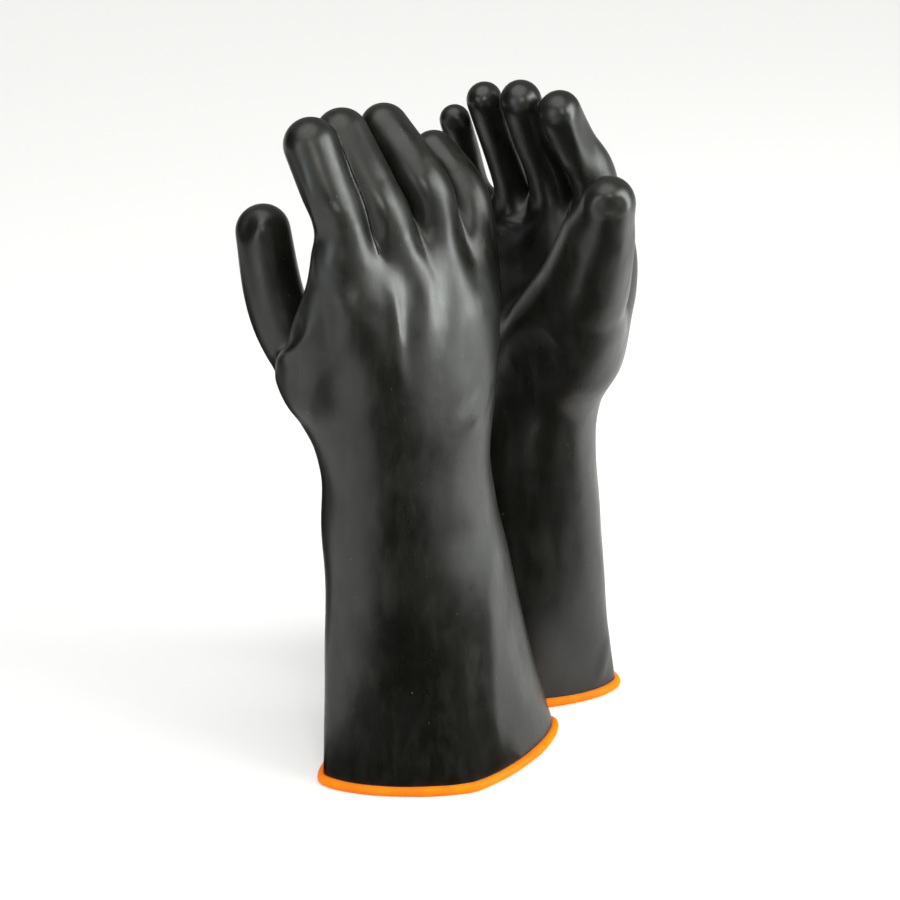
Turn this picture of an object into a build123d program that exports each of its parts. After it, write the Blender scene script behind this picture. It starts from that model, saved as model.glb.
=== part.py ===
"""Pair of electrical insulating gloves, standing on their cuffs.

Each glove is a dipped natural-rubber glove of two bonded plies, black outside
and orange inside, with an orange rolled bead round the cuff.  A glove is drawn
in its own frame: +X toward the thumb, +Y toward the back of the hand, -Y toward
the palm, +Z toward the fingertips, with Z = 0 under the cuff bead.  It is then
turned about Z and set down on the floor.  Millimetres throughout.
"""
import os
from math import copysign, cos, pi, radians, sin, tan

from build123d import *

# ---- driving dimensions ---------------------------------------------------
OUTER_PLY = 1.3             # black ply
BOND_GAP = 0.15             # cement line between the plies
INNER_PLY = 0.6             # orange ply
BEAD_RADIUS = 2.45
BEAD_CENTRE_HEIGHT = 2.2   # a little under the radius: the bead stands on a narrow flat
BEAD_OVERHANG = 1.2         # how far the bead's centre line lies outside the wall's face
CUFF_EDGE_HEIGHT = 4.9      # lowest edge of the wall, just over the bead
WRIST_HEIGHT = 165.0        # crease where the hand folds on the gauntlet
KNUCKLE_HEIGHT = 262.0      # crease where the fingers fold on the hand
JOINT_GAP = 0.6             # clear space left at each crease
FINGER_GAP = 1.0            # clear space between neighbouring fingers
OVAL_POINTS = 20            # points that draw each oval section

# Sleeve sections: height, centre x, centre y, half width, half depth,
# twist in degrees, fullness (2 = ellipse, less = lens-shaped).
FRONT_GAUNTLET = [
    (CUFF_EDGE_HEIGHT, -14.6, 7.4, 65.5, 40.3, -11, 1.5),
    (60, -9.5, 4.0, 57.0, 38.0, -8, 1.65),
    (112, -5.0, 2.0, 50.5, 36.0, -4, 1.9),
    (142, -1.4, 0.5, 47.0, 34.0, -2, 2.0),
    (168, 0.0, 0.5, 45.0, 32.0, 0, 2.1),
]
FRONT_HAND = [
    (158, -0.2, 0.5, 45.5, 32.6, 0, 2.1),
    (180, -0.3, 1.2, 45.0, 31.5, 0, 2.1),
    (205, -1.0, 3.0, 46.0, 30.0, 0, 2.2),
    (235, -1.0, 4.0, 47.5, 26.0, 0, 2.3),
    (KNUCKLE_HEIGHT, -1.0, 3.5, 46.5, 18.5, 0, 2.3),
]
REAR_GAUNTLET = [
    (CUFF_EDGE_HEIGHT, -12.5, -0.6, 61.0, 34.9, 28, 1.6),
    (60, -9.0, -2.5, 53.5, 35.0, 21, 1.8),
    (112, -6.0, -4.5, 49.0, 34.0, 13, 1.9),
    (142, -4.5, -5.5, 46.0, 33.0, 7, 2.0),
    (172, -3.3, -3.6, 45.0, 31.0, 2, 2.1),
]
REAR_HAND = [
    (158, -4.0, -4.6, 45.4, 31.6, 0, 2.1),
    (180, -2.5, -3.0, 45.2, 30.5, 0, 2.1),
    (203, 0.0, 0.0, 46.0, 29.0, 0, 2.2),
    (233, 2.5, 5.0, 48.0, 26.0, 0, 2.3),
    (KNUCKLE_HEIGHT, 3.0, 5.5, 46.5, 18.5, 0, 2.3),
]

# Finger stalls and thumb: centre-line points with the radius at each, root to tip.
FRONT_FINGERS = {
    "index": [(31, 4, 246, 13.2), (37, -1, 299, 12.2), (40, -6, 315, 12.1), (41, -15, 333, 12.6)],
    "middle": [(11, 5, 246, 13.2), (11.5, 3, 292, 12.7), (14.5, -5, 309, 12.5),
               (17, -22, 332.5, 12.2)],
    "ring": [(-11.5, 5, 244, 13.0), (-14.5, 2, 295, 12.4), (-10.5, -6, 312.5, 12.2),
             (-7.5, -26, 330, 12)],
    "little": [(-34, 3, 240, 12.4), (-38.5, -0.5, 284, 12.0), (-39, -9, 300, 11.4),
               (-36, -25, 313, 10.8)],
}
REAR_FINGERS = {
    "index": [(41, 6, 244, 12.6), (38.5, 1, 294, 11.5), (35.5, -12, 315, 11), (34.5, -24, 334, 10.8)],
    "middle": [(18, 7, 244, 12.2), (12, -1, 294, 10.4), (10.6, -12, 314.5, 10), (13, -26, 336.4, 10.2)],
    "ring": [(-3, 6, 242, 12.0), (-10, 0, 279, 9.8), (-13, -10, 307, 8.7), (-9, -26, 333, 8.7)],
    "little": [(-24, 4, 238, 11.5), (-27, -2, 276.6, 9.6), (-29, -12, 299.4, 8.3),
               (-28.5, -24, 319, 7.7)],
}
FRONT_THUMB = [(38, -22, 204, 16.5), (45, -37, 230, 17), (47.5, -44, 252, 15.8), (47.5, -50, 283, 13.3)]
REAR_THUMB = [(41, -18, 213, 19.5), (56, -25, 247.5, 18.5), (68.5, -36, 280, 14.6), (75.5, -42, 301, 13)]
FRONT_BALL = [(14, -5, 172, 18), (33, -8, 186, 18), (45, -9, 202, 17), (52, -10, 213, 14)]
REAR_BALL = [(12, -9, 172, 17), (27, -11, 188, 18.5), (41, -14, 210, 18.5), (50, -18, 226, 15)]
FRONT_WEB = [(52, -10, 213, 13), (49, -4, 235, 11.5), (37, 3, 257, 11.5)]
REAR_WEB = [(44, -4, 208, 14), (49, 6, 234, 11.5), (44, 7, 256, 11.5)]

# Dividing planes between neighbouring fingers: x at the knuckle crease and lean in degrees.
FRONT_DIVIDERS = [(22.5, 5.3), (-0.4, 3.2), (-23.3, -2.2)]
REAR_DIVIDERS = [(27.5, -3.1), (5.0, -2.9), (-15.5, -3.4)]

FRONT = {
    "gauntlet": FRONT_GAUNTLET, "hand": FRONT_HAND, "fingers": FRONT_FINGERS,
    "thumb": FRONT_THUMB, "ball": FRONT_BALL, "web": FRONT_WEB,
    "dividers": FRONT_DIVIDERS, "thumb_cut": 228.0,
    "at": (-21.5, -3.3), "turn": -143.0,
}
REAR = {
    "gauntlet": REAR_GAUNTLET, "hand": REAR_HAND, "fingers": REAR_FINGERS,
    "thumb": REAR_THUMB, "ball": REAR_BALL, "web": REAR_WEB,
    "dividers": REAR_DIVIDERS, "thumb_cut": 250.0,
    "at": (39.5, 74.6), "turn": -37.0,
}
CENTRE = (-4.7, 37.4)         # middle of the pair's footprint, moved to the origin

LINER_TOP = OUTER_PLY + BOND_GAP
LINER_BOTTOM = LINER_TOP + INNER_PLY


# ---- building blocks ------------------------------------------------------
def oval_points(half_width, half_depth, fullness):
    """Points round a level oval, centred on the sketch's own origin."""
    points = []
    for i in range(OVAL_POINTS):
        angle = 2 * pi * i / OVAL_POINTS
        c, s = cos(angle), sin(angle)
        x = half_width * copysign(abs(c) ** (2 / fullness), c)
        y = half_depth * copysign(abs(s) ** (2 / fullness), s)
        points.append((x, y))
    return points


def section_plane(section):
    """Level plane of one sleeve section, turned by its twist."""
    height, cx, cy, _, _, twist, _ = section
    turn = radians(twist)
    return Plane(origin=(cx, cy, height), x_dir=(cos(turn), sin(turn), 0), z_dir=(0, 0, 1))


def sleeve(sections, inset):
    """Solid lofted through the sleeve's ovals, each drawn smaller by the inset."""
    with BuildPart() as solid:
        for section in sections:
            with BuildSketch(section_plane(section)):
                with BuildLine():
                    Spline(*oval_points(section[3] - inset, section[4] - inset, section[6]), periodic=True)
                make_face()
        loft()
    return solid.part


def tapered_tube(points, inset):
    """Round tube through the points, its radius changing along it, with domed ends."""
    with BuildLine() as centre_line:
        Spline(*[p[:3] for p in points])
    path = centre_line.line
    stations = 3 * (len(points) - 1)
    radii = [p[3] for p in points]
    with BuildPart() as tube:
        for i in range(stations + 1):
            t = i / stations
            k = min(int(t * (len(points) - 1)), len(points) - 2)
            f = t * (len(points) - 1) - k
            radius = radii[k] * (1 - f) + radii[k + 1] * f - inset
            with BuildSketch(Plane(origin=path @ t, x_dir=(1, 0, 0), z_dir=path % t)):
                Circle(radius)
        loft()
        with Locations(path @ 1):
            Sphere(radii[-1] - inset)
        with Locations(path @ 0):
            Sphere(radii[0] - inset)
    return tube.part


def divider_plane(divider, shift):
    """Plane between two fingers; shift moves it toward the thumb side (+X)."""
    x, lean = divider
    a = radians(lean)
    return Plane(origin=(x + shift, 0, KNUCKLE_HEIGHT), x_dir=(0, 1, 0), z_dir=(cos(a), 0, -sin(a)))


def finger_solid(glove, name, inset):
    """One finger, root to tip, kept between its dividing planes."""
    order = ["index", "middle", "ring", "little"]
    place = order.index(name)
    margin = FINGER_GAP / 2 + inset
    with BuildPart() as finger:
        add(tapered_tube(glove["fingers"][name], inset))
        if place < 3:
            split(bisect_by=divider_plane(glove["dividers"][place], margin), keep=Keep.TOP)
        if place > 0:
            split(bisect_by=divider_plane(glove["dividers"][place - 1], -margin), keep=Keep.BOTTOM)
    return finger.part


def thumb_solid(glove, inset):
    return tapered_tube(glove["thumb"], inset)


def hand_solid(glove, inset):
    """Palm, ball of the thumb, web and thumb root, closed at the knuckles."""
    cut = glove["thumb_cut"] - JOINT_GAP / 2
    with BuildPart() as root:
        add(thumb_solid(glove, inset))
        split(bisect_by=Plane.XY.offset(cut), keep=Keep.BOTTOM)
    with BuildPart() as hand:
        add(sleeve(glove["hand"], inset))
        add(tapered_tube(glove["ball"], inset))
        add(tapered_tube(glove["web"], inset))
        split(bisect_by=Plane.XY.offset(KNUCKLE_HEIGHT - JOINT_GAP / 2 - inset), keep=Keep.BOTTOM)
        add(root.part)
    return hand.part


def gauntlet_shell(glove, outside, inside):
    top = WRIST_HEIGHT - JOINT_GAP / 2
    with BuildPart() as shell:
        add(sleeve(glove["gauntlet"], outside))
        add(sleeve(glove["gauntlet"], inside), mode=Mode.SUBTRACT)
        split(bisect_by=Plane.XY.offset(top), keep=Keep.BOTTOM)
    return shell.part


def hand_shell(glove, outside, inside):
    bottom = WRIST_HEIGHT + JOINT_GAP / 2
    with BuildPart() as shell:
        add(hand_solid(glove, outside))
        add(hand_solid(glove, inside), mode=Mode.SUBTRACT)
        add(thumb_solid(glove, inside), mode=Mode.SUBTRACT)
        for name in glove["fingers"]:
            add(finger_solid(glove, name, inside), mode=Mode.SUBTRACT)
        split(bisect_by=Plane.XY.offset(bottom), keep=Keep.TOP)
    return shell.part


def finger_shell(glove, name, outside, inside):
    with BuildPart() as shell:
        add(finger_solid(glove, name, outside))
        add(finger_solid(glove, name, inside), mode=Mode.SUBTRACT)
        split(bisect_by=Plane.XY.offset(KNUCKLE_HEIGHT + JOINT_GAP / 2), keep=Keep.TOP)
    return shell.part


def thumb_shell(glove, outside, inside):
    with BuildPart() as shell:
        add(thumb_solid(glove, outside))
        add(thumb_solid(glove, inside), mode=Mode.SUBTRACT)
        split(bisect_by=Plane.XY.offset(glove["thumb_cut"] + JOINT_GAP / 2), keep=Keep.TOP)
    return shell.part


def cuff_bead(glove):
    """Rolled bead that follows the cuff's edge, with a narrow flat where it stands."""
    height, cx, cy, half_width, half_depth, twist, fullness = glove["gauntlet"][0]
    spread = BEAD_OVERHANG - OUTER_PLY / 2
    turn = radians(twist)
    ring = Plane(origin=(cx, cy, BEAD_CENTRE_HEIGHT), x_dir=(cos(turn), sin(turn), 0), z_dir=(0, 0, 1))
    with BuildPart() as bead:
        with BuildLine(ring) as rim:
            Spline(*oval_points(half_width + spread, half_depth + spread, fullness), periodic=True)
        path = rim.line
        with BuildSketch(Plane(origin=path @ 0, x_dir=(0, 0, 1), z_dir=path % 0)):
            Circle(BEAD_RADIUS)
        sweep(path=path)
        split(bisect_by=Plane.XY, keep=Keep.TOP)
    return bead.part


def glove_pieces(glove):
    """Every piece of one glove, by name, in the glove's own frame."""
    pieces = {}
    plies = {"outer": (0.0, OUTER_PLY), "liner": (LINER_TOP, LINER_BOTTOM)}
    for ply, (outside, inside) in plies.items():
        pieces["gauntlet_" + ply] = gauntlet_shell(glove, outside, inside)
        pieces["hand_" + ply] = hand_shell(glove, outside, inside)
        pieces["thumb_" + ply] = thumb_shell(glove, outside, inside)
        for name in glove["fingers"]:
            pieces[name + "_" + ply] = finger_shell(glove, name, outside, inside)
    pieces["cuff_bead"] = cuff_bead(glove)
    return pieces


# ---- build, place and export ----------------------------------------------
os.makedirs("parts", exist_ok=True)
for side, glove in (("front", FRONT), ("rear", REAR)):
    place = Location(
        (glove["at"][0] - CENTRE[0], glove["at"][1] - CENTRE[1], 0), (0, 0, glove["turn"])
    )
    for name, piece in glove_pieces(glove).items():
        piece = place * piece
        piece.label = side + "_" + name
        export_step(piece, "parts/" + side + "_" + name + ".step")
        box = piece.bounding_box()
        print(piece.label, len(piece.solids()), round(piece.volume), [round(v, 1) for v in box.min],
              [round(v, 1) for v in box.max])
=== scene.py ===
"""Looks for a pair of long two-ply rubber insulating gloves standing on their cuffs.

Each glove is described by a signed distance field in its own frame (millimetres):
+X toward the thumb, +Y toward the back of the hand, +Z toward the fingertips, with
Z = 0 on the floor.  The field is turned into a black outer shell and an orange
lining, and both are cut at the creases into a sleeve, a thumb and four fingers, each closed.
"""
import math

import bmesh
import bpy
import numpy as np
import openvdb as vdb
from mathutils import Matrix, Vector


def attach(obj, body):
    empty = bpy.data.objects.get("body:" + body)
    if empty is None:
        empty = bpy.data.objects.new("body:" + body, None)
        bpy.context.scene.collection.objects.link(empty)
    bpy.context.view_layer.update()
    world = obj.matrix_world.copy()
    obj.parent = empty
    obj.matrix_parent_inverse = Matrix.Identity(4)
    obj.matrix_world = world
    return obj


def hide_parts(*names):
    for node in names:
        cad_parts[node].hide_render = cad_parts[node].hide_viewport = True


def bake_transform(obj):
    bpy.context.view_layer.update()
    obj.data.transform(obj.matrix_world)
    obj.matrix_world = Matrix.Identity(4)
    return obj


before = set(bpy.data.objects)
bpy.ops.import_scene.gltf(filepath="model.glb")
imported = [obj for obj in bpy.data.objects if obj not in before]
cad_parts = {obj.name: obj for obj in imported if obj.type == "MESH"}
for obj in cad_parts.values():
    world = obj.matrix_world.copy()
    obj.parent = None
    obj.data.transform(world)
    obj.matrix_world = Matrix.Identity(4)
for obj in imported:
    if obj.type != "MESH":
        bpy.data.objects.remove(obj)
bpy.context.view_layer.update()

# ---- dimensions, in millimetres ---------------------------------------------
MM = 0.001
OUTER_PLY = 1.3
BOND_GAP = 0.15
INNER_PLY = 0.6
BEAD_RADIUS = 2.45
BEAD_CENTRE_HEIGHT = 2.2
BEAD_OVERHANG = 0.9
CUFF_EDGE_HEIGHT = 4.9      # lowest edge of the wall, tucked on top of the bead
FINGER_CUT = {"front": 284.0, "rear": 274.0}  # level where the finger pieces start
FINGER_SLIT = 0.25          # half of the gap between neighbouring fingers
CENTRE = (-4.7, 37.4)       # middle of the pair's footprint, moved to the origin
FINE = 1.3  # grid step of the outside skin
COARSE = 3.0                # grid step of the inside surfaces
BAND = 7.0                  # distance kept on either side of the skin
# How softly the parts of the skin run into each other.
DOME_BLEND = 20.0           # sleeve's end under the knuckles
FINGER_BLEND = 2.0          # neighbouring fingers
KNUCKLE_BLEND = 12.0        # fingers and sleeve
ROOT_BLEND = 8.0            # ball of the thumb and web
PALM_BLEND = 14.0           # thumb's root and sleeve
FIN_BLEND = {"thumb": 18.0, "hand": 12.0}
THUMB_BLEND = 4.0           # thumb above its root

# Sleeve sections: height, centre x, centre y, half width, half depth,
# twist in degrees, fullness (2 = ellipse, less = lens-shaped).
FRONT = {
    "at": (-21.5, -3.3), "turn": -143.0,
    "thumb_cut": 245.0, "thumb_side": (0.042, -0.999, 25.2),
    "dividers": [(22.5, 5.3), (-0.4, 3.2), (-23.3, -2.2)],
    "sleeve": [
        (2, -14.8, 7.5, 66, 40.5, -11, 1.46), (60, -9.5, 4, 57, 38, -8, 1.65),
        (112, -5, 2, 50.5, 36, -4, 1.9), (142, -1.4, 0.5, 47, 34, -2, 2),
        (168, 0, 0.5, 44.5, 32, 0, 2.1), (205, -1, 3, 45.5, 30, 0, 2.2),
        (245, -1, 4, 48, 26, 0, 2.3), (284, -1, 1.5, 43, 12.5, 0, 2.3),
    ],
    "fingers": {
        "index": [(31, 4, 260, 13.5), (37, -1, 299, 12.3), (40.5, -6, 315, 12.4), (42.5, -15, 334, 13)],
        "middle": [(11, 6, 259, 13.5), (12.5, 3, 292, 12.9), (16.5, -5, 310, 12.8),
                   (20, -22, 333, 12.8)],
        "ring": [(-11.5, 5, 256, 13.2), (-14.5, 2, 295, 12.5), (-10.5, -6, 312.5, 12.4),
                 (-7.5, -26, 330, 12)],
        "little": [(-34, 3, 250, 12.6), (-38.5, 0, 283, 12.2), (-39.2, -8, 299, 11.6),
                   (-36, -25, 313, 10.8)],
    },
    "thumb": [(35, -19, 204, 11), (42.5, -35, 230, 14), (46, -43.5, 252, 14.6), (47.5, -50, 283, 13.4)],
    "ball": [(12, -5, 160, 13), (29, -7, 184, 13.5), (40, -8, 200, 13), (48, -9, 213, 11.5)],
    "web": [(49, -9, 213, 11.5), (48, -4, 235, 11), (37, 3, 258, 12)],
    "fin": [(53, -19, 222, 7.5), (55, -12, 236, 6), (51.5, -7, 250, 5.5), (46.5, -2, 266, 6),
            (42, 0, 280, 8)],
    "fin_on": "hand", "thumb_root": (205.0, 235.0, 10.0),
    "folds": [
        # index root ridge, the hollows and the soft ridge beside it
        ([(27, 11, 287), (24.5, 16, 275), (23, 22, 265), (24, 26, 250), (24, 28, 236),
          (23, 29, 222)], 3.2, 1.3),
        ([(17, 14, 288), (14, 20, 274), (14, 25, 260), (18, 28, 240)], 6.5, -2.2),
        ([(-5, 12, 288), (0, 20, 272), (6, 25, 261), (12, 28, 250), (16, 30, 236)], 5.5, 0.8),
        ([(-12, 14, 286), (-9, 24, 266), (-3, 29, 249), (3, 31, 230)], 6, -0.8),
        # knuckles and the rim below the middle finger
        ([(18.5, 10, 304), (20, 12.5, 296), (22.5, 12, 288), (26, 10.5, 285)], 2.6, 0.4),
        ([(43, 9, 312), (41, 10, 300)], 8, 1.2),
        ([(20, 6, 318), (18.5, 12, 303), (17, 14, 292)], 7.5, 1.2),
        ([(-4, 5, 319), (-7, 11, 303), (-9, 13, 292)], 7.5, 1.2),
        ([(-33, -12, 317), (-34, -5, 307)], 5, 1.0),
        # side of the index finger
        ([(53, -10, 334), (52, -3, 319), (51.5, -1, 306), (53, 0, 283), (52.5, 7, 270)], 2.8, 1.2),
        # hollow beside the web
        ([(50, 4, 270), (50, 8, 254), (51, 8, 240)], 5, -1.8),
        # lip and trough where the thumb leaves the hand
        ([(56.7, 0.8, 256), (57.8, 0.5, 247.5), (60.3, -2.7, 242), (62.4, -8, 237.8), (60, -18, 231.5),
          (55.5, -29, 227)], 2.6, 1.5),
        ([(58, -4, 256), (60.5, -8, 249), (60.5, -13, 243), (57, -20, 238),
          (54.5, -28, 234)], 4.2, -2.2),
        # pressed-in thumb tip
        ([(56.3, -46, 296), (58.0, -47.5, 289), (58.8, -48, 281)], 4.2, -2.2),
        ([(53.2, -40, 297), (54.5, -40.5, 289), (56, -42, 279)], 2.4, 1.0),
        # wrist wrinkles
        ([(62, 0, 224), (52, 9, 219), (42, 15, 222)], 6, -0.7),
        ([(56, 4, 204), (46, 14, 204), (34, 22, 212)], 6, 0.5),
        ([(-8, 33, 199), (-15, 33, 208), (-24, 30, 216)], 3.4, -1.0),
        ([(-16, 32, 192), (-24, 30, 199), (-31, 27, 210)], 3.4, 0.9),
        # long soft edge down the gauntlet
        ([(-27, 33, 128), (-25, 36, 100), (-22, 41, 60), (-20, 45, 20), (-18.5, 47, 5)], 7, 1.3),
        ([(-42, 24, 120), (-45, 24, 70), (-50, 24, 20)], 11, -1.6),
    ],
}
REAR = {
    "at": (39.5, 74.6), "turn": -37.0,
    "thumb_cut": 266.0, "thumb_side": (0.409, -0.913, 28.0),
    "dividers": [(27.5, -3.1), (5.0, -2.9), (-15.5, -3.4)],
    "sleeve": [
        (2, -12.5, -0.5, 61.5, 34.9, 28, 1.6), (60, -9, -2.5, 53.5, 35, 21, 1.8),
        (112, -6, -4.5, 49, 34, 13, 1.9), (142, -4.5, -5.5, 46, 33, 7, 2),
        (168, -3.5, -4, 45, 31, 2, 2.1), (203, 0, 0, 46, 29, 0, 2.2),
        (243, 3, 6, 49, 25, 0, 2.3), (272, 3, 5, 45, 17, 0, 2.3),
    ],
    "fingers": {
        "index": [(41, 7, 254, 13), (38.5, 1, 294, 11.5), (35.5, -12, 315, 11), (34.5, -24, 334, 10.8)],
        "middle": [(18, 7, 256, 12.6), (12, -1, 294, 11.2), (10.3, -12, 314.5, 10.3),
                   (13, -26, 336.4, 10.2)],
        "ring": [(-2, 6, 248, 11.5), (-8.2, 0, 276, 9.4), (-12, -9, 305, 9.0), (-9, -26, 333, 8.8)],
        "little": [(-24, 4, 242, 12), (-31, -2, 274, 8.2), (-31.5, -12, 299, 8.0),
                   (-28.4, -24, 319, 7.8)],
    },
    "thumb": [(38, -13, 205, 17), (56, -25, 247.5, 18), (68.5, -36, 280, 14.8), (75.5, -42, 301, 13.2)],
    "ball": [(14, -7, 160, 14), (31, -7, 187, 15), (41, -10, 208, 14.5), (49, -15, 227, 13)],
    "web": [(43, -4, 208, 12.5), (48, 5, 234, 10.5), (43, 6, 256, 10.5)],
    "fin": [(8, -16, 200, 11), (20, -26, 222, 12), (32, -29, 238, 12), (46, -30, 256, 12),
            (60, -33, 280, 12)],
    "fin_on": "thumb", "thumb_root": (205.0, 255.0, 16.0),
    "folds": [
        # crease across the finger roots
        ([(-14, -13, 264), (-10, -13, 266), (0, -13, 267), (8, -11, 270), (14, -10, 274)], 3, 1.3),
        ([(-12, -14, 256), (0, -15, 256), (12, -13, 262)], 5, -1.2),
        # flattened side of the index finger
        ([(39, -30, 342), (43.5, -28, 330), (43, -20, 313), (41.5, -12, 297)], 2.8, 1.5),
        ([(46, -20, 334), (46, -12, 318), (46, -4, 302)], 5, -1.6),
        # pressed-in tips of the little finger and thumb
        ([(-25, -32, 321), (-25, -31, 316)], 3.2, -1.8),
        ([(75, -55.5, 302), (80, -53.4, 302.5), (84.5, -50.5, 302.5), (88, -45, 303.5)], 3.4, -2.2),
        ([(76, -55, 310), (82, -50, 311.5), (87, -44, 312)], 3.0, 0.6),
        # hollow under the thumb's root
        ([(44, -38, 224), (30, -36, 210), (16, -34, 200)], 13, -1.0),
        # short fold over the cuff
        ([(42, 20, 34), (42, 15, 18), (41, 12, 8)], 3.5, 1.2),
    ],
}
GLOVES = {"front": FRONT, "rear": REAR}


# ---- distance fields ----------------------------------------------------------
def smooth_union(a, b, k):
    """The nearer of two distances, rounded where they differ by less than k."""
    h = np.clip(0.5 + 0.5 * (b - a) / k, 0, 1)
    return b * (1 - h) + a * h - k * h * (1 - h)


def catmull_rom(points, per_span):
    """Points and radii along a smooth curve through the given (x, y, z, radius) points."""
    p = np.array(points, float)
    q = np.vstack([2 * p[0] - p[1], p, 2 * p[-1] - p[-2]])
    out = []
    for i in range(1, len(q) - 2):
        for t in np.arange(per_span) / per_span:
            out.append(0.5 * (2 * q[i] + (q[i + 1] - q[i - 1]) * t
                              + (2 * q[i - 1] - 5 * q[i] + 4 * q[i + 1] - q[i + 2]) * t * t
                              + (-q[i - 1] + 3 * q[i] - 3 * q[i + 1] + q[i + 2]) * t ** 3))
    out.append(p[-1])
    return np.array(out)


def tube(p, points, per_span=12):
    """Distance to a round tube of changing radius; points far from it get a plain bound."""
    c = catmull_rom(points, per_span)
    d = np.full(len(p), 1e3)
    low = (c[:, :3] - c[:, 3:]).min(0) - 26
    high = (c[:, :3] + c[:, 3:]).max(0) + 26
    near = ((p > low) & (p < high)).all(1)
    q = p[near]
    best = np.full(len(q), 1e3)
    for a, b in zip(c[:-1], c[1:]):
        ab = b[:3] - a[:3]
        t = np.clip(((q - a[:3]) @ ab) / (ab @ ab), 0, 1)
        r = q - a[:3] - t[:, None] * ab
        best = np.minimum(best, np.sqrt((r * r).sum(1)) - (a[3] + (b[3] - a[3]) * t))
    d[near] = best
    return d


def through(z, stations, values):
    """Monotone cubic through the stations, held flat beyond the first and the last."""
    h = np.diff(stations)
    slope = np.diff(values) / h
    m = np.zeros(len(values))
    m[0], m[-1] = slope[0], slope[-1]
    for i in range(1, len(values) - 1):
        if slope[i - 1] * slope[i] > 0:
            w1, w2 = 2 * h[i] + h[i - 1], h[i] + 2 * h[i - 1]
            m[i] = (w1 + w2) / (w1 / slope[i - 1] + w2 / slope[i])
    i = np.clip(np.searchsorted(stations, z) - 1, 0, len(h) - 1)
    t = np.clip((z - stations[i]) / h[i], 0, 1)
    return ((1 + 2 * t) * (1 - t) ** 2 * values[i] + t * (1 - t) ** 2 * h[i] * m[i]
            + t * t * (3 - 2 * t) * values[i + 1] + t * t * (t - 1) * h[i] * m[i + 1])


def sleeve(p, stations):
    """Gauntlet and palm: stacked superellipses, closed by a soft dome at the knuckles."""
    s = np.array(stations, float)
    z = p[:, 2]
    cx, cy, a, b, twist, n = [through(z, s[:, 0], s[:, k]) for k in range(1, 7)]
    t = np.radians(twist)
    x = np.cos(t) * (p[:, 0] - cx) + np.sin(t) * (p[:, 1] - cy)
    y = -np.sin(t) * (p[:, 0] - cx) + np.cos(t) * (p[:, 1] - cy)
    u, v = np.abs(x) / a + 1e-6, np.abs(y) / b + 1e-6
    f = (u ** n + v ** n) ** (1 / n)
    gx = u ** (n - 1) * f ** (1 - n) / a
    gy = v ** (n - 1) * f ** (1 - n) / b
    side = (f - 1) / np.maximum(np.sqrt(gx * gx + gy * gy), 1 / np.maximum(a, b))
    return -smooth_union(-side, s[-1, 0] - z, DOME_BLEND)


def polyline_distance(p, line):
    """Distance to a polyline and the share of its length where the nearest point lies."""
    c = catmull_rom([tuple(q) + (0,) for q in line], 6)[:, :3]
    seg = np.linalg.norm(np.diff(c, axis=0), axis=1)
    run = np.concatenate([[0], np.cumsum(seg)]) / seg.sum()
    best = np.full(len(p), 1e9)
    where = np.zeros(len(p))
    for k in range(len(c) - 1):
        ab = c[k + 1] - c[k]
        t = np.clip(((p - c[k]) @ ab) / (ab @ ab), 0, 1)
        r = p - c[k] - t[:, None] * ab
        d = (r * r).sum(1)
        closer = d < best
        best[closer] = d[closer]
        where[closer] = (run[k] + (run[k + 1] - run[k]) * t)[closer]
    return np.sqrt(best), where


def folds(p, glove):
    """Height added to the surface by the soft ridges and dents of the rubber."""
    lift = np.zeros(len(p))
    for line, width, height in glove["folds"]:
        c = np.array(line, float)
        near = ((p > c.min(0) - 3 * width) & (p < c.max(0) + 3 * width)).all(1)
        d, t = polyline_distance(p[near], line)
        fade = np.sin(np.pi * np.clip(t, 0.02, 0.98)) ** 0.6
        lift[near] += height * fade * np.exp(-(d / width) ** 2)
    return lift


def waviness(p):
    """The slow unevenness of a dipped skin."""
    x, y, z = p[:, 0], p[:, 1], p[:, 2]
    return (0.22 * np.sin(x * 0.071 + 1.3 * np.sin(z * 0.033)) * np.sin(z * 0.047 + 0.8)
            + 0.16 * np.sin(y * 0.13 + z * 0.061) + 0.10 * np.sin(x * 0.19 - z * 0.11 + 2.0))


def glove_field(p, glove):
    """Signed distance to the outside of one glove, negative in the rubber and inside it."""
    fingers = None
    for points in glove["fingers"].values():
        d = tube(p, points)
        fingers = d if fingers is None else smooth_union(fingers, d, FINGER_BLEND)
    d = smooth_union(sleeve(p, glove["sleeve"]), fingers, KNUCKLE_BLEND)
    root = smooth_union(tube(p, glove["ball"], 8), tube(p, glove["web"], 8), ROOT_BLEND)
    d = smooth_union(d, root, PALM_BLEND)
    fin, thumb = tube(p, glove["fin"], 8), tube(p, glove["thumb"])
    if glove["fin_on"] == "thumb":
        thumb = smooth_union(fin, thumb, FIN_BLEND["thumb"])
    else:
        d = smooth_union(d, fin, FIN_BLEND["hand"])
    low, high, soft = glove["thumb_root"]
    share = np.clip((high - p[:, 2]) / (high - low), 0, 1)
    d = smooth_union(d, thumb, THUMB_BLEND + soft * share * share * (3 - 2 * share))
    return d - folds(p, glove) - waviness(p)


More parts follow.
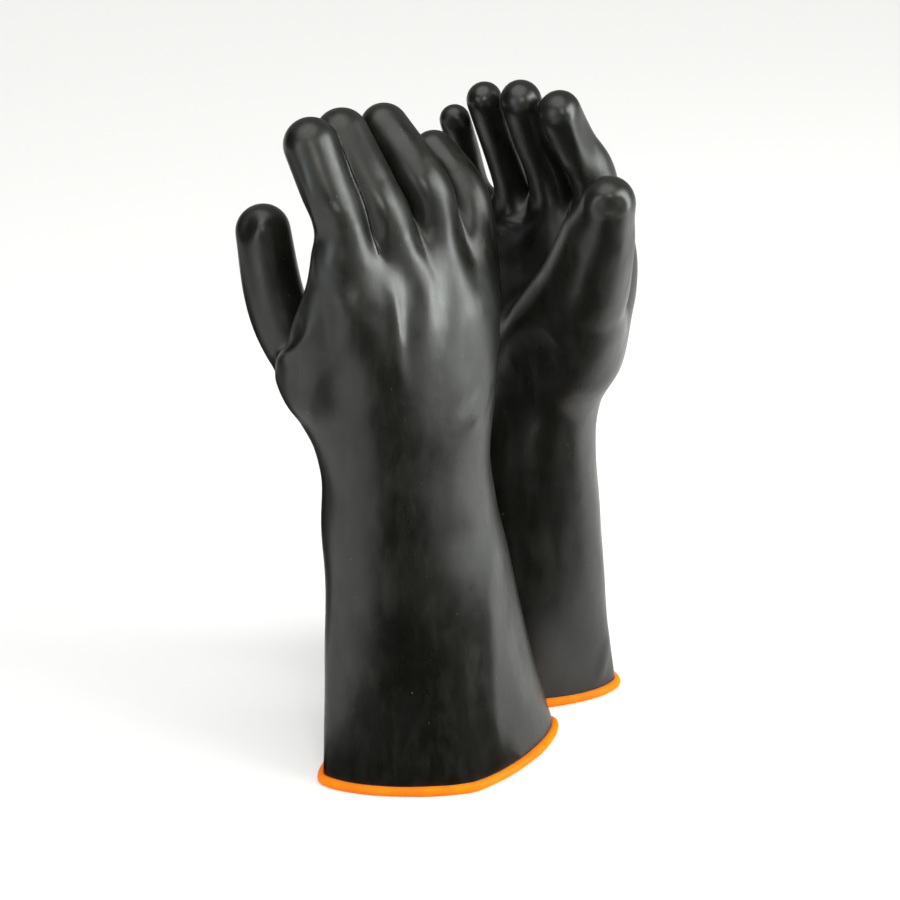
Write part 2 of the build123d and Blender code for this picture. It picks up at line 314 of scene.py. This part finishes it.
def sampled_field(glove, voxel):
    """Dense grid of the field, exact near the skin, flat beyond the band, and slightly smoothed."""
    low = np.array([-85.0, -78.0, -4.0])
    high = np.array([96.0, 60.0, 356.0])
    step = 6.0
    nc = np.ceil((high - low) / step).astype(int) + 1
    axes = [low[k] + step * np.arange(nc[k]) for k in range(3)]
    coarse_p = np.stack(np.meshgrid(*axes, indexing="ij"), -1).reshape(-1, 3)
    coarse = glove_field(coarse_p, glove).reshape(nc)
    n = np.floor((nc - 1) * step / voxel).astype(int)
    index = [np.minimum(np.round(np.arange(n[k]) * voxel / step).astype(int), nc[k] - 1)
             for k in range(3)]
    rough = coarse[np.ix_(*index)]
    field = np.where(rough > 0, BAND, -BAND).astype(np.float32)
    near = np.argwhere(np.abs(rough) < BAND + step * 0.9)
    values = glove_field(low + near * voxel, glove)
    field[near[:, 0], near[:, 1], near[:, 2]] = np.clip(values, -BAND, BAND)
    if voxel < COARSE:
        for axis in (0, 1, 2):
            field = (np.roll(field, 1, axis) + 2 * field + np.roll(field, -1, axis)) / 4
    return field, low


def sample(field, low, voxel, p):
    """Trilinear value of the grid at the points."""
    q = (p - low) / voxel
    i = np.clip(np.floor(q).astype(int), 0, np.array(field.shape) - 2)
    f = q - i
    out = np.zeros(len(p))
    for dx in (0, 1):
        for dy in (0, 1):
            for dz in (0, 1):
                w = (np.abs(1 - dx - f[:, 0]) * np.abs(1 - dy - f[:, 1]) * np.abs(1 - dz - f[:, 2]))
                out += w * field[i[:, 0] + dx, i[:, 1] + dy, i[:, 2] + dz]
    return out


def surface(field, low, voxel, level):
    """Quads and vertices of one level of the grid, facing outward."""
    grid = vdb.FloatGrid(float(BAND))
    grid.copyFromArray(field)
    grid.transform = vdb.createLinearTransform(voxel)
    points, quads = grid.convertToQuads(float(level))
    points = points.astype(float) + low
    a, b, c = points[quads[:, 0]], points[quads[:, 1]], points[quads[:, 2]]
    if np.einsum("ij,ij->i", a, np.cross(b, c)).sum() < 0:
        quads = quads[:, ::-1]
    return points, quads


# ---- mesh building --------------------------------------------------------------
def clip(bm, point, normal):
    """Keeps the side of the plane that the normal points to and caps the cut."""
    geometry = bm.verts[:] + bm.edges[:] + bm.faces[:]
    cut = bmesh.ops.bisect_plane(bm, geom=geometry, dist=1e-5, plane_co=point, plane_no=normal,
                                 clear_inner=True)
    edges = [e for e in cut["geom_cut"] if isinstance(e, bmesh.types.BMEdge)]
    cap(bm, edges)


def cap(bm, edges):
    """Closes the loops of a cut."""
    if edges:
        bmesh.ops.triangle_fill(bm, use_beauty=True, use_dissolve=False, edges=edges)


def shell(outer, inner):
    """Closed wall between two surfaces, open at the cuff; both are (points, quads)."""
    bm = bmesh.new()
    for (points, quads), flip in ((outer, False), (inner, True)):
        verts = [bm.verts.new(p) for p in points]
        for q in quads:
            bm.faces.new([verts[i] for i in (q[::-1] if flip else q)])
    clip(bm, (0, 0, CUFF_EDGE_HEIGHT), (0, 0, 1))
    return bm


def islands(faces):
    """Groups of faces that hang together edge by edge."""
    waiting = set(faces)
    groups = []
    while waiting:
        group, front = [], [waiting.pop()]
        while front:
            face = front.pop()
            group.append(face)
            for edge in face.edges:
                for other in edge.link_faces:
                    if other in waiting:
                        waiting.remove(other)
                        front.append(other)
        groups.append(group)
    return groups


def split_thumb(whole, glove):
    """Two closed meshes, the thumb above its crease and everything else."""
    nx, ny, limit = glove["thumb_side"]
    level = glove["thumb_cut"]
    geometry = whole.verts[:] + whole.edges[:] + whole.faces[:]
    bmesh.ops.bisect_plane(whole, geom=geometry, dist=1e-5, plane_co=(0, 0, level), plane_no=(0, 0, 1))
    above = [f for f in whole.faces if f.calc_center_median().z > level]
    whole.faces.index_update()
    picked = set()
    for group in islands(above):
        middle = sum((f.calc_center_median() for f in group), Vector()) / len(group)
        if nx * middle.x + ny * middle.y > limit:
            picked.update(f.index for f in group)
    thumb, rest = whole.copy(), whole.copy()
    for bm, keep in ((thumb, True), (rest, False)):
        bm.faces.ensure_lookup_table()
        drop = [f for f in bm.faces if (f.index in picked) != keep]
        bmesh.ops.delete(bm, geom=drop, context="FACES")
        cap(bm, [e for e in bm.edges if e.is_boundary])
    return thumb, rest


def cut_pieces(whole, glove, finger_cut):
    """Cuts a closed wall into the sleeve, the thumb and the fingers, each closed."""
    thumb, hand = split_thumb(whole, glove)
    pieces = {"thumb": thumb, "hand": hand}
    top = hand.copy()
    clip(top, (0, 0, finger_cut), (0, 0, 1))
    clip(hand, (0, 0, finger_cut), (0, 0, -1))
    order = ["index", "middle", "ring", "little"]
    for k, name in enumerate(order):
        piece = top.copy()
        if k < 3:
            x, lean = glove["dividers"][k]
            a = math.radians(lean)
            clip(piece, (x + FINGER_SLIT, 0, 262), (math.cos(a), 0, -math.sin(a)))
        if k > 0:
            x, lean = glove["dividers"][k - 1]
            a = math.radians(lean)
            clip(piece, (x - FINGER_SLIT, 0, 262), (-math.cos(a), 0, math.sin(a)))
        pieces[name] = piece
    top.free()
    return pieces


def placed(glove, p):
    """Glove frame in millimetres to the row frame in metres."""
    a = math.radians(glove["turn"])
    turn = np.array([[math.cos(a), -math.sin(a), 0], [math.sin(a), math.cos(a), 0], [0, 0, 1]])
    shift = np.array([glove["at"][0] - CENTRE[0], glove["at"][1] - CENTRE[1], 0])
    return (np.asarray(p, float) @ turn.T + shift) * MM


def world_normals(glove, n):
    """Directions of the glove frame in the row frame."""
    a = math.radians(glove["turn"])
    turn = np.array([[math.cos(a), -math.sin(a), 0], [math.sin(a), math.cos(a), 0], [0, 0, 1]])
    return n @ turn.T


def finish_piece(name, bm, glove, grid, material):
    """Makes the object and gives its skin the field's own normals, so that cuts don't show."""
    bmesh.ops.recalc_face_normals(bm, faces=bm.faces[:])
    mesh = bpy.data.meshes.new(name)
    bm.to_mesh(mesh)
    bm.free()
    count = len(mesh.vertices)
    co = np.empty(count * 3)
    mesh.vertices.foreach_get("co", co)
    co = co.reshape(-1, 3)
    field, low, voxel = grid
    e = 0.8 * voxel
    gradient = np.stack([sample(field, low, voxel, co + e * axis)
                         - sample(field, low, voxel, co - e * axis) for axis in np.eye(3)], -1)
    gradient /= np.linalg.norm(gradient, axis=1, keepdims=True) + 1e-9
    gradient = world_normals(glove, gradient)
    mesh.vertices.foreach_set("co", placed(glove, co).ravel())
    mesh.update()
    mesh.polygons.foreach_set("use_smooth", np.ones(len(mesh.polygons), bool))
    loops = len(mesh.loops)
    vertex = np.empty(loops, np.int32)
    mesh.loops.foreach_get("vertex_index", vertex)
    totals = np.empty(len(mesh.polygons), np.int32)
    mesh.polygons.foreach_get("loop_total", totals)
    flat = np.empty(len(mesh.polygons) * 3)
    mesh.polygons.foreach_get("normal", flat)
    flat = np.repeat(flat.reshape(-1, 3), totals, axis=0)
    normals = gradient[vertex]
    agreement = np.einsum("ij,ij->i", normals, flat)
    normals = np.where(agreement[:, None] < 0, -normals, normals)
    normals = np.where(np.abs(agreement)[:, None] < 0.55, flat, normals)
    mesh.normals_split_custom_set(normals.tolist())
    obj = bpy.data.objects.new(name, mesh)
    bpy.context.scene.collection.objects.link(obj)
    mesh.materials.append(material)
    return obj


def bead(name, glove, material):
    """Rolled bead round the cuff."""
    _, cx, cy, a, b, twist, n = glove["sleeve"][0]
    a, b = a + BEAD_OVERHANG - OUTER_PLY / 2, b + BEAD_OVERHANG - OUTER_PLY / 2
    count, around = 360, 20
    angle = np.linspace(0, 2 * math.pi, 4001)[:-1]
    c, s = np.cos(angle), np.sin(angle)
    line = np.stack([a * np.sign(c) * np.abs(c) ** (2 / n), b * np.sign(s) * np.abs(s) ** (2 / n)], -1)
    for _ in range(60):
        line = (np.roll(line, 1, 0) + line * 2 + np.roll(line, -1, 0)) / 4
    length = np.concatenate([[0], np.cumsum(np.linalg.norm(np.roll(line, -1, 0) - line, axis=1))])
    at = np.linspace(0, length[-1], count + 1)[:-1]
    closed = np.vstack([line, line[:1]])
    line = np.stack([np.interp(at, length, closed[:, k]) for k in range(2)], -1)
    tangent = np.roll(line, -1, 0) - np.roll(line, 1, 0)
    tangent /= np.linalg.norm(tangent, axis=1, keepdims=True)
    outward = np.stack([tangent[:, 1], -tangent[:, 0]], -1)
    t = math.radians(twist)
    turn = np.array([[math.cos(t), -math.sin(t)], [math.sin(t), math.cos(t)]])
    verts, faces = [], []
    for i in range(count):
        s0 = at[i] / length[-1] * 2 * math.pi
        swell = 1 + 0.03 * math.sin(5 * s0 + 1) + 0.02 * math.sin(13 * s0)
        for j in range(around):
            phi = 2 * math.pi * j / around
            r = BEAD_RADIUS * swell
            height = max(BEAD_CENTRE_HEIGHT + r * math.sin(phi), 0.0)
            xy = turn @ (line[i] + outward[i] * r * math.cos(phi))
            verts.append((xy[0] + cx, xy[1] + cy, height))
    for i in range(count):
        for j in range(around):
            k, m = (i + 1) % count, (j + 1) % around
            faces.append((i * around + j, k * around + j, k * around + m, i * around + m))
    mesh = bpy.data.meshes.new(name)
    mesh.from_pydata([tuple(v) for v in placed(glove, verts)], [], faces)
    bm = bmesh.new()
    bm.from_mesh(mesh)
    bmesh.ops.recalc_face_normals(bm, faces=bm.faces[:])
    bm.to_mesh(mesh)
    bm.free()
    mesh.polygons.foreach_set("use_smooth", np.ones(len(mesh.polygons), bool))
    mesh.materials.append(material)
    obj = bpy.data.objects.new(name, mesh)
    bpy.context.scene.collection.objects.link(obj)
    return obj


# ---- materials --------------------------------------------------------------------
def new_material(name):
    """Material, its node tree and its main shader."""
    material = bpy.data.materials.new(name)
    material.use_nodes = True
    tree = material.node_tree
    return material, tree, tree.nodes["Principled BSDF"]


def noise(tree, scale, detail=3.0, roughness=0.5, stretch=(1, 1, 1)):
    """Noise in object space, so that it stays with the rubber."""
    coords = tree.nodes.new("ShaderNodeTexCoord")
    mapping = tree.nodes.new("ShaderNodeMapping")
    mapping.inputs["Scale"].default_value = stretch
    texture = tree.nodes.new("ShaderNodeTexNoise")
    texture.inputs["Scale"].default_value = scale
    texture.inputs["Detail"].default_value = detail
    texture.inputs["Roughness"].default_value = roughness
    tree.links.new(coords.outputs["Object"], mapping.inputs["Vector"])
    tree.links.new(mapping.outputs["Vector"], texture.inputs["Vector"])
    return texture.outputs["Fac"]


def ramp(tree, source, stops):
    """Colours along a value; stops are (position, colour)."""
    node = tree.nodes.new("ShaderNodeValToRGB")
    elements = node.color_ramp.elements
    while len(elements) > len(stops):
        elements.remove(elements[-1])
    while len(elements) < len(stops):
        elements.new(0.5)
    for element, (position, colour) in zip(elements, stops):
        element.position = position
        element.color = colour if len(colour) == 4 else tuple(colour) + (1,)
    tree.links.new(source, node.inputs["Fac"])
    return node.outputs["Color"]


def mixed(tree, factor, first, second):
    """First colour where the factor is 0, the second where it is 1."""
    node = tree.nodes.new("ShaderNodeMix")
    node.data_type = "RGBA"
    tree.links.new(factor, node.inputs["Factor"])
    tree.links.new(first, node.inputs[6])
    node.inputs[7].default_value = tuple(second) + (1,)
    return node.outputs[2]


def to_range(tree, source, low, high, new_low, new_high):
    """Value rescaled from one range to another and held at its ends."""
    node = tree.nodes.new("ShaderNodeMapRange")
    node.inputs["From Min"].default_value = low
    node.inputs["From Max"].default_value = high
    node.inputs["To Min"].default_value = new_low
    node.inputs["To Max"].default_value = new_high
    tree.links.new(source, node.inputs["Value"])
    return node.outputs["Result"]


def bumps(tree, layers):
    """Bump nodes one after another; layers are (height source, strength, distance)."""
    previous = None
    for source, strength, distance in layers:
        node = tree.nodes.new("ShaderNodeBump")
        node.inputs["Strength"].default_value = strength
        node.inputs["Distance"].default_value = distance
        tree.links.new(source, node.inputs["Height"])
        if previous:
            tree.links.new(previous, node.inputs["Normal"])
        previous = node.outputs["Normal"]
    return previous


def black_rubber():
    """Glossy dipped rubber with clouds, a dusty bloom, specks and slow undulation."""
    material, tree, shader = new_material("black_natural_rubber")
    cloud = noise(tree, 34, 6, 0.62)
    colour = ramp(tree, cloud, [(0.34, (0.0030, 0.0031, 0.0019)), (0.52, (0.0046, 0.0047, 0.0030)),
                                (0.70, (0.0070, 0.0071, 0.0050))])
    bloom = ramp(tree, noise(tree, 120, 4, 0.6, (1, 1, 0.30)), [(0.47, (0, 0, 0)), (0.75, (1, 1, 1))])
    speck = ramp(tree, noise(tree, 520, 1, 0.4), [(0.80, (0, 0, 0)), (0.82, (1, 1, 1))])
    dusty = mixed(tree, bloom, colour, (0.0125, 0.0126, 0.0098))
    tree.links.new(mixed(tree, speck, dusty, (0.07, 0.07, 0.06)), shader.inputs["Base Color"])
    smear = noise(tree, 70, 5, 0.62, (1, 1, 0.4))
    tree.links.new(to_range(tree, smear, 0.32, 0.70, 0.27, 0.47), shader.inputs["Roughness"])
    layers = [(noise(tree, 48, 3, 0.5), 0.22, 0.0014), (noise(tree, 230, 2, 0.5), 0.07, 0.00030),
              (noise(tree, 1200, 1, 0.5), 0.03, 0.00008)]
    tree.links.new(bumps(tree, layers), shader.inputs["Normal"])
    shader.inputs["Specular IOR Level"].default_value = 0.5
    return material


def orange_rubber():
    """Satin natural rubber of the lining and the bead."""
    material, tree, shader = new_material("orange_natural_rubber")
    cloud = noise(tree, 90, 4, 0.55)
    colour = ramp(tree, cloud, [(0.3, (0.72, 0.140, 0.001)), (0.55, (0.82, 0.175, 0.001)),
                                (0.8, (0.88, 0.215, 0.002))])
    tree.links.new(colour, shader.inputs["Base Color"])
    smear = noise(tree, 240, 4, 0.6)
    tree.links.new(to_range(tree, smear, 0.3, 0.75, 0.38, 0.52), shader.inputs["Roughness"])
    fine = noise(tree, 1100, 3, 0.5)
    tree.links.new(bumps(tree, [(fine, 0.12, 0.00012)]), shader.inputs["Normal"])
    shader.inputs["Specular IOR Level"].default_value = 0.10
    return material


BLACK = black_rubber()
ORANGE = orange_rubber()

# ---- the two gloves -----------------------------------------------------------------
ROLE = {"hand": "sleeve", "thumb": "thumb", "index": "index", "middle": "middle", "ring": "ring",
        "little": "little"}
for side, glove in GLOVES.items():
    fine_field, low = sampled_field(glove, FINE)
    stride_field, stride_low = sampled_field(glove, COARSE)
    liner_top = -(OUTER_PLY + BOND_GAP)
    inner = surface(stride_field, stride_low, COARSE, -OUTER_PLY)
    outer = surface(fine_field, low, FINE, 0.0)
    plies = {
        "outer": (shell(outer, inner), (fine_field, low, FINE), BLACK, "black_rubber"),
        "liner": (shell(surface(stride_field, stride_low, COARSE, liner_top),
                        surface(stride_field, stride_low, COARSE, liner_top - INNER_PLY)),
                  (stride_field, stride_low, COARSE), ORANGE, "orange_rubber"),
    }
    for ply, (whole, grid, material, slot) in plies.items():
        for part, bm in cut_pieces(whole, glove, FINGER_CUT[side]).items():
            name = side + "_" + ROLE[part] + "_" + ply + "_rubber"
            obj = finish_piece(name, bm, glove, grid, material)
            if part == "hand":
                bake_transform(obj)
                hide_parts(side + "_gauntlet_" + ply, side + "_hand_" + ply)
            else:
                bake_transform(obj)
                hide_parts(side + "_" + part + "_" + ply)
        whole.free()
    ring = bead(side + "_rolled_bead", glove, ORANGE)
    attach(ring, side + "_gauntlet")
    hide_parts(side + "_cuff_bead")

# ---- floor, lights and camera --------------------------------------------------------
bpy.ops.mesh.primitive_plane_add(size=12, location=(0, 1.5, -0.0002))
floor = bpy.context.object
floor.name = "floor"
floor_material, floor_tree, floor_shader = new_material("pale_floor")
floor_shader.inputs["Base Color"].default_value = (0.82, 0.82, 0.82, 1)
floor_shader.inputs["Roughness"].default_value = 0.9
floor.data.materials.append(floor_material)

scene = bpy.context.scene
world = bpy.data.worlds.new("studio")
world.use_nodes = True
world.node_tree.nodes["Background"].inputs["Color"].default_value = (1, 1, 1, 1)
world.node_tree.nodes["Background"].inputs["Strength"].default_value = 0.30
scene.world = world
scene.view_settings.view_transform = "Standard"


def area_light(name, place, target, size, power, colour=(1, 1, 1)):
    data = bpy.data.lights.new(name, "AREA")
    data.shape = "RECTANGLE"
    data.size, data.size_y = size
    data.energy = power
    data.color = colour
    obj = bpy.data.objects.new(name, data)
    obj.location = place
    obj.rotation_euler = (Vector(target) - Vector(place)).to_track_quat("-Z", "Y").to_euler()
    scene.collection.objects.link(obj)
    return obj


def reflection_only_shade_card(name, centre, turn, size):
    """Matt dark sheet seen only in the rubber's reflections, a painted dark reflection core: hidden
    from the camera, from shadows and from diffuse light.
    """
    bpy.ops.mesh.primitive_plane_add(size=1, location=centre, rotation=turn)
    card = bpy.context.object
    card.name = name
    card.scale = (size[0], size[1], 1)
    material, tree, shader = new_material(name + "_paint")
    shader.inputs["Base Color"].default_value = (0.004, 0.004, 0.004, 1)
    shader.inputs["Roughness"].default_value = 1.0
    shader.inputs["Specular IOR Level"].default_value = 0.0
    card.data.materials.append(material)
    card.visible_camera = False
    card.visible_shadow = False
    card.visible_diffuse = False


area_light("front_key", (0.15, -1.58, 0.99), (0, 0, 0.25), (0.50, 0.38), 6.0, (1.0, 0.99, 0.94))
area_light("left_box", (-0.55, -0.62, 0.42), (-0.15, -0.2, 0.05), (0.4, 0.5), 1.7, (0.86, 0.96, 1.0))
area_light("right_box", (0.85, -0.15, 0.42), (0.25, 0, 0.05), (0.4, 0.8), 10.5, (0.95, 1.0, 0.97))
area_light("high_right", (0.73, -0.51, 0.75), (0, 0, 0.28), (0.3, 0.3), 2.6, (1.0, 1.0, 0.95))
sun_data = bpy.data.lights.new("overhead", "SUN")
sun_data.energy = 2.45
sun_data.angle = math.radians(70)
sun_data.color = (1.0, 0.99, 0.96)
sun = bpy.data.objects.new("overhead", sun_data)
sun.rotation_euler = (math.radians(14), math.radians(-10), 0)
scene.collection.objects.link(sun)
# Painted dark reflections: sheets that only the rubber's glossy reflections see, standing in for a dark
# room.
reflection_only_shade_card("reflected_shade_floor", (0.185, -1.0, 0.004), (0, 0, 0), (0.57, 1.9))
reflection_only_shade_card("reflected_shade_behind", (-0.45, 0.27, 0.004), (0, 0, 0), (0.6, 0.5))
reflection_only_shade_card("reflected_shade_left", (-1.25, 0.2, 0.5), (0, math.pi / 2, 0), (1.3, 1.5))
reflection_only_shade_card("reflected_shade_front", (0.35, -2.0, 0.6), (math.pi / 2, 0, 0), (1.3, 1.4))

ELEVATION = math.radians(24.0)
DISTANCE = 1.3
AIM = Vector((0.0047, -0.0374, 0.172))
camera_data = bpy.data.cameras.new("camera")
camera_data.sensor_width = 36
camera_data.lens = 105.6
camera = bpy.data.objects.new("camera", camera_data)
camera.location = AIM + DISTANCE * Vector((0, -math.cos(ELEVATION), math.sin(ELEVATION)))
camera.rotation_euler = (math.pi / 2 - ELEVATION, 0, 0)
scene.collection.objects.link(camera)
scene.camera = camera
